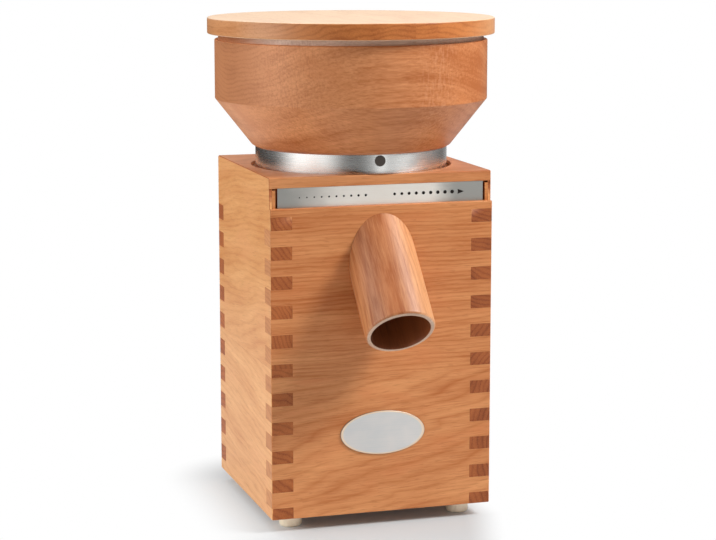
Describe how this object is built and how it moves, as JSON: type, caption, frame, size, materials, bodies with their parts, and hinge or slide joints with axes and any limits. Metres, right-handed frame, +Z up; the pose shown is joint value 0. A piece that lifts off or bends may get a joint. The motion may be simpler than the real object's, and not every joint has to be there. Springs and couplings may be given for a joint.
{
  "type": "electric grain mill",
  "caption": "Electric grain mill: finger-jointed wooden box with a slanted flour spout, a turned hopper that screws in to set the fineness, a lift-off lid, millstones and a motor.",
  "frame": {"origin": "middle of the footprint, on the surface that the feet stand on", "axes": "+Z up along the hopper and the motor shaft, -Y towards the spout at the front, +X to the right as seen from the front"},
  "size_m": [0.1986, 0.228, 0.3426],
  "materials": {
    "beech": "oiled, fine grain",
    "beech_side": "oiled, fine grain",
    "beech_turned": "turned and oiled",
    "brushed_plate": "fine brushed",
    "steel_band": "brushed round the band",
    "black_plastic": "fine textured",
    "cream_plastic": "smooth",
    "white_plastic": "moulded",
    "grindstone": "coarse, unglazed",
    "felt": "pressed felt",
    "zinc": "zinc plated",
    "shaft_steel": "ground",
    "cast_aluminium": "as cast",
    "lamination": "stacked sheet",
    "copper": "enamelled wire",
    "lead_cover": "smooth"
  },
  "bodies": {
    "housing": {"front_panel": "beech", "back_panel": "beech", "left_panel": "beech_side", "right_panel": "beech_side", "top_board": "beech", "base_board": "beech_side", "base_screws": "zinc", "feet": "cream_plastic", "foot_screws": "zinc", "scale_rail": "beech", "scale_plate": "brushed_plate", "badge": "brushed_plate", "spout": "beech", "ring_socket": "white_plastic", "milling_chamber": "white_plastic", "chamber_screws": "zinc", "shaft_seal": "felt", "upper_end_bell": "cast_aluminium", "lower_end_bell": "cast_aluminium", "motor_shell": "cast_aluminium", "stator_core": "lamination", "stator_windings": "copper", "motor_bearings": "shaft_steel", "motor_bolts": "zinc", "tie_rods": "zinc", "fan_cowl": "black_plastic", "capacitor": "cast_aluminium", "capacitor_strap": "black_plastic", "terminal_block": "white_plastic", "lead_wires": "lead_cover", "switch_frame": "black_plastic", "cord_inlet": "black_plastic", "inlet_nut": "black_plastic"},
    "hopper_lift": {"dust_seal": "felt"},
    "hopper": {"hopper_bowl": "beech_turned", "hopper_band": "steel_band", "band_marker": "black_plastic", "hopper_ring": "white_plastic", "hopper_ring_screws": "zinc", "hanger_plate": "zinc", "shoulder_bolts": "zinc", "stone_springs": "zinc"},
    "stone_mount": {"stone_holder": "zinc", "upper_stone": "grindstone"},
    "lid": {"lid": "beech_turned"},
    "rotor": {"runner_stone": "grindstone", "runner_hub": "zinc", "runner_nut": "zinc", "motor_shaft": "shaft_steel", "rotor_core": "lamination", "cooling_fan": "black_plastic"},
    "rocker": {"switch_rocker": "black_plastic"}
  },
  "joints": [
    {"name": "hopper_rise", "type": "slide", "parent": "housing", "child": "hopper_lift", "axis": [0, 0, 1], "range_m": [-0.00102, 0.00102]},
    {"name": "hopper_turn", "type": "hinge", "parent": "hopper_lift", "child": "hopper", "pos_m": [0, 0.01468, 0.241], "axis": [0, 0, 1], "range_deg": [-60, 60]},
    {"name": "stone_float", "type": "slide", "parent": "hopper", "child": "stone_mount", "axis": [0, 0, 1], "range_m": [0, 0.0015], "stiffness_N_per_m": 6000, "springref_m": -0.004, "deforming": ["stone_springs"]},
    {"name": "lid_lift", "type": "slide", "parent": "hopper", "child": "lid", "axis": [0, 0, 1], "range_m": [0, 0.08]},
    {"name": "motor_spin", "type": "hinge", "parent": "housing", "child": "rotor", "pos_m": [0, 0.01468, 0.119], "axis": [0, 0, 1], "continuous": true},
    {"name": "switch_rock", "type": "hinge", "parent": "housing", "child": "rocker", "pos_m": [0.0752, 0.05068, 0.051], "axis": [0, 1, 0], "range_deg": [0, 22]}
  ],
  "couplings": [
    {"joint": "hopper_rise", "follows": "hopper_turn", "m_per_rad": 0.00095493}
  ]
}
